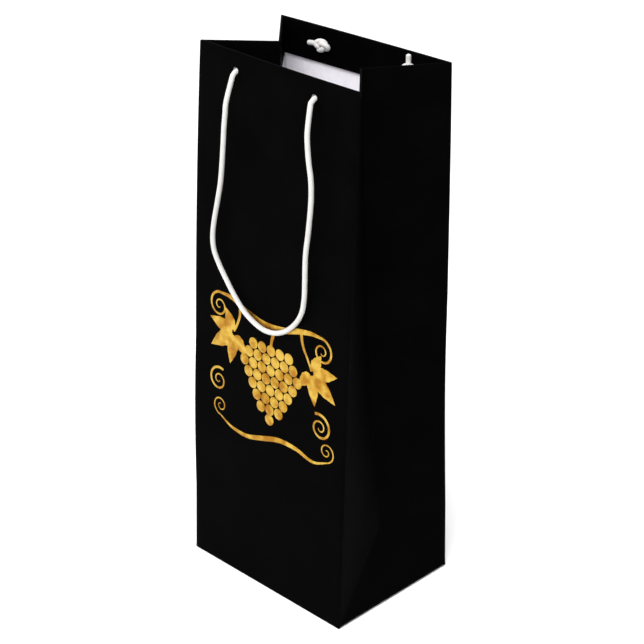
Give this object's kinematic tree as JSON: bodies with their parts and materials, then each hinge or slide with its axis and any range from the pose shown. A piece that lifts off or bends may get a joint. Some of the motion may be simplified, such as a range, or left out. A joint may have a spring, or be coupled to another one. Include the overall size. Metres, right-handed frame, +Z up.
{
  "type": "wine gift bag",
  "caption": "Tall gusseted paper carrier for a bottle, with a turned-in stiffened mouth, block bottom and knotted rope handles that swing up.",
  "frame": {"origin": "middle of the base's underside, on the surface the bag stands on", "axes": "+Z up through the mouth, -Y is the front panel with the ornament, +X to the right when facing the front"},
  "size_m": [0.127, 0.0952, 0.33],
  "materials": {
    "black_paper": "matt-laminated black art paper",
    "white_paper": "uncoated white inside of the paper",
    "grey_card": "grey board stiffener",
    "base_card": "white-lined board",
    "cord": "soft twisted off-white cord",
    "gold_foil": "mottled hot-stamped foil"
  },
  "bodies": {
    "bag": {"front_panel": "black_paper", "back_panel": "black_paper", "left_gusset_front": "black_paper", "left_gusset_rear": "black_paper", "right_gusset_front": "black_paper", "right_gusset_rear": "black_paper", "left_gusset_foot": "black_paper", "right_gusset_foot": "black_paper", "side_seam_flap": "white_paper", "front_hem": "black_paper", "back_hem": "black_paper", "left_gusset_front_hem": "black_paper", "left_gusset_rear_hem": "black_paper", "right_gusset_front_hem": "black_paper", "right_gusset_rear_hem": "black_paper", "front_handle_card": "grey_card", "back_handle_card": "grey_card", "front_bottom_flap": "black_paper", "back_bottom_flap": "black_paper", "left_bottom_flap": "black_paper", "right_bottom_flap": "black_paper", "base_card": "base_card", "front_knot_left": "cord", "front_knot_right": "cord", "rear_knot_left": "cord", "rear_knot_right": "cord"},
    "front_handle": {"front_handle_rope": "cord"},
    "rear_handle": {"rear_handle_rope": "cord"}
  },
  "joints": [
    {"name": "front_handle_swing", "type": "hinge", "parent": "bag", "child": "front_handle", "pos_m": [0, -0.0408, 0.3195], "axis": [-1, 0, 0], "range_deg": [0, 178]},
    {"name": "rear_handle_swing", "type": "hinge", "parent": "bag", "child": "rear_handle", "pos_m": [0, 0.0408, 0.3195], "axis": [1, 0, 0], "range_deg": [0, 178]}
  ]
}
